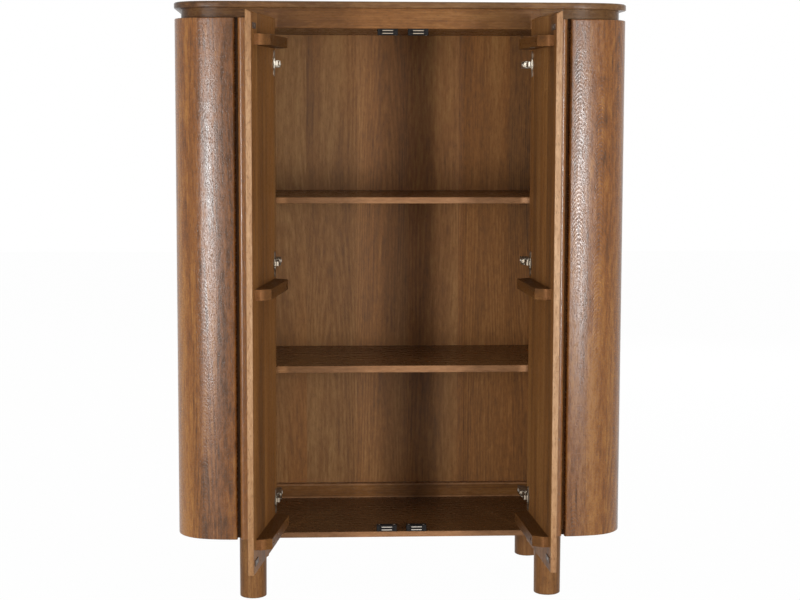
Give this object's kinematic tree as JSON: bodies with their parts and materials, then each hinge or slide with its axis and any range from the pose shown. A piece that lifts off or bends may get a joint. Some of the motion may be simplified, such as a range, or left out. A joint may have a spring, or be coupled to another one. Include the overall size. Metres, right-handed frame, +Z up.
{
  "type": "kitchen dresser",
  "caption": "Tall wooden two-door dresser with rounded sides on turned legs, doors on cup hinges standing open over shelved compartments.",
  "frame": {"origin": "on the floor, under the middle of the whole with its doors open as at rest", "axes": "+X to the right seen from the front, +Y from the doors into the depth, +Z up"},
  "size_m": [0.903, 0.6899, 1.194],
  "materials": {
    "top_wood": "satin stained mango wood, top",
    "shell_wood": "satin stained mango wood, rounded sides",
    "case_wood": "satin stained mango wood, case",
    "door_wood": "satin stained mango wood, doors",
    "back_wood": "stained veneered panel",
    "shelf_wood": "satin stained mango wood, shelves",
    "leg_wood": "satin stained turned wood",
    "nickel": "bright nickel plate",
    "zinc_screw": "zinc plated",
    "black_plastic": "matte black plastic",
    "glide_plastic": "dark brown plastic"
  },
  "bodies": {
    "carcass": {"top_slab": "top_wood", "neck_board": "case_wood", "top_board": "case_wood", "front_rail": "case_wood", "base_board": "case_wood", "back_panel": "back_wood", "back_panel_screws": "zinc_screw", "upper_shelf": "shelf_wood", "lower_shelf": "shelf_wood", "shelf_pins": "zinc_screw", "leg_bolts": "zinc_screw", "leg_glides": "glide_plastic", "hinge_mounting_plates": "nickel", "hinge_plate_screws": "zinc_screw", "hinge_arms": "nickel", "hinge_arm_screws": "zinc_screw", "catch_housings": "black_plastic", "catch_pole_plates": "nickel", "catch_screws": "zinc_screw", "right_side_shell": "shell_wood", "left_side_shell": "shell_wood", "right_side_panel": "case_wood", "left_side_panel": "case_wood", "right_front_stile": "shell_wood", "left_front_stile": "shell_wood", "right_corner_post": "case_wood", "left_corner_post": "case_wood", "right_rear_post": "case_wood", "left_rear_post": "case_wood", "right_hinge_batten": "case_wood", "left_hinge_batten": "case_wood", "front_left_leg": "leg_wood", "front_right_leg": "leg_wood", "rear_left_leg": "leg_wood", "rear_right_leg": "leg_wood"},
    "left_door": {"left_door_leaf": "door_wood", "left_lower_door_batten": "door_wood", "left_middle_door_batten": "door_wood", "left_upper_door_batten": "door_wood", "left_batten_screws": "zinc_screw", "left_hinge_cups": "nickel", "left_hinge_cup_screws": "zinc_screw", "left_strike_plates": "nickel", "left_strike_screws": "zinc_screw"},
    "right_door": {"right_door_leaf": "door_wood", "right_lower_door_batten": "door_wood", "right_middle_door_batten": "door_wood", "right_upper_door_batten": "door_wood", "right_batten_screws": "zinc_screw", "right_hinge_cups": "nickel", "right_hinge_cup_screws": "zinc_screw", "right_strike_plates": "nickel", "right_strike_screws": "zinc_screw"},
    "left_hinge_linkage": {"left_hinge_links": "nickel"},
    "right_hinge_linkage": {"right_hinge_links": "nickel"}
  },
  "joints": [
    {"name": "left_door_swing", "type": "hinge", "parent": "carcass", "child": "left_door", "pos_m": [-0.2707, -0.07515, 0.64375], "axis": [0, 0, -1], "range_deg": [-98.7, 6.3]},
    {"name": "right_door_swing", "type": "hinge", "parent": "carcass", "child": "right_door", "pos_m": [0.2707, -0.07515, 0.64375], "axis": [0, 0, 1], "range_deg": [-92.7, 12.3]},
    {"name": "left_hinge_link_turn", "type": "hinge", "parent": "left_door", "child": "left_hinge_linkage", "pos_m": [-0.25279, -0.0877, 0.6826], "axis": [0, 0, -1], "range_deg": [-9.45, 140.65]},
    {"name": "right_hinge_link_turn", "type": "hinge", "parent": "right_door", "child": "right_hinge_linkage", "pos_m": [0.25158, -0.08576, 0.6826], "axis": [0, 0, 1], "range_deg": [-17.97, 132.13]}
  ],
  "couplings": [
    {"joint": "left_hinge_link_turn", "follows": "left_door_swing", "ratio": -1.42},
    {"joint": "right_hinge_link_turn", "follows": "right_door_swing", "ratio": -1.42}
  ]
}
